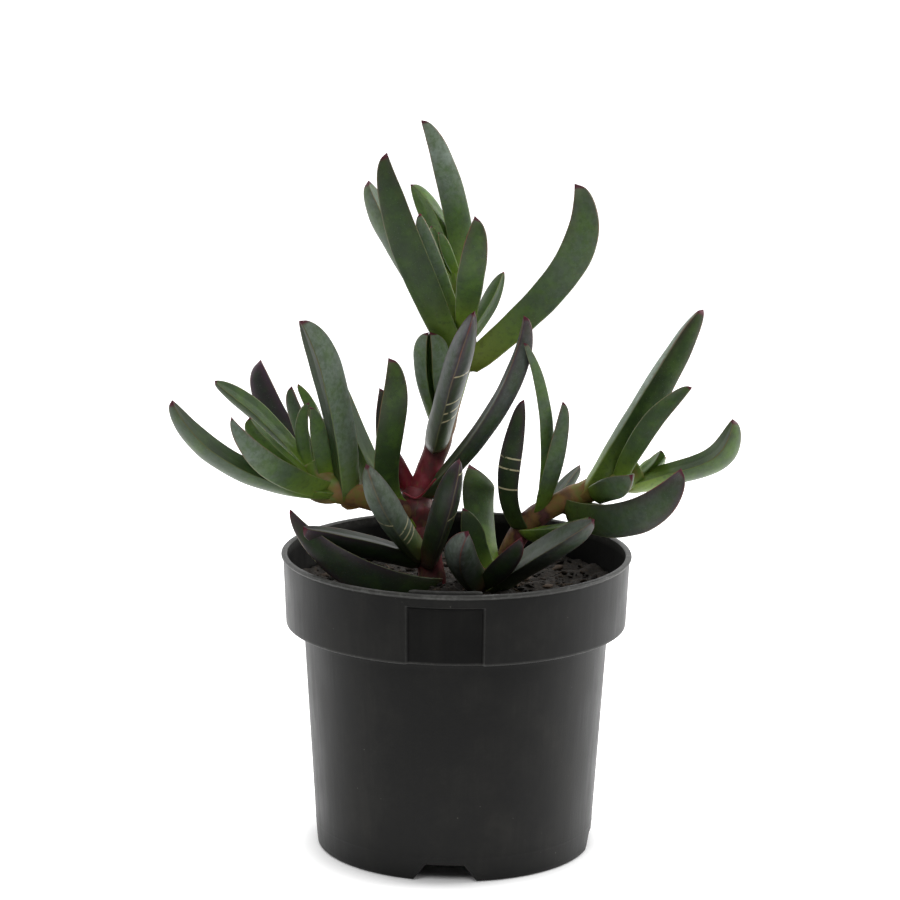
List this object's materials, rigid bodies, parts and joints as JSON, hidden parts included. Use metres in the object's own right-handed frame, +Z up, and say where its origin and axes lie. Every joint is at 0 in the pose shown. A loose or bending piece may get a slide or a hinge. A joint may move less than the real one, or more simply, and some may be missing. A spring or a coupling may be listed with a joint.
{
  "type": "potted succulent plant",
  "caption": "Pigface with red stems and three-sided fleshy leaves, rooted in potting mix in a round black nursery pot with a stepped collar.",
  "frame": {"origin": "on the pot's axis at the flat surface that it stands on", "axes": "+Z up along the pot's axis, -Y towards the front, where the pressed-in label panel is, +X to the right as seen from the front"},
  "size_m": [0.2246, 0.14, 0.291],
  "materials": {
    "pot_plastic": "satin black moulded plastic, faintly dusty",
    "bark_mix": "damp dark composted bark, with a few paler chips",
    "leaf_flesh": "fleshy green leaf with a grey waxy bloom, red margins and keel, and a red stem",
    "old_leaf_flesh": "older dark green leaf with a grey waxy bloom and a purple margin",
    "young_leaf_flesh": "younger green leaf with a thin bloom and a bright edge"
  },
  "bodies": {
    "root": {"pot": "pot_plastic", "potting_mix": "bark_mix", "main_leafy_stem": "leaf_flesh", "front_leafy_stem": "old_leaf_flesh", "right_leafy_stem": "leaf_flesh", "left_leafy_stem": "leaf_flesh", "middle_leafy_stem": "young_leaf_flesh"}
  },
  "joints": []
}
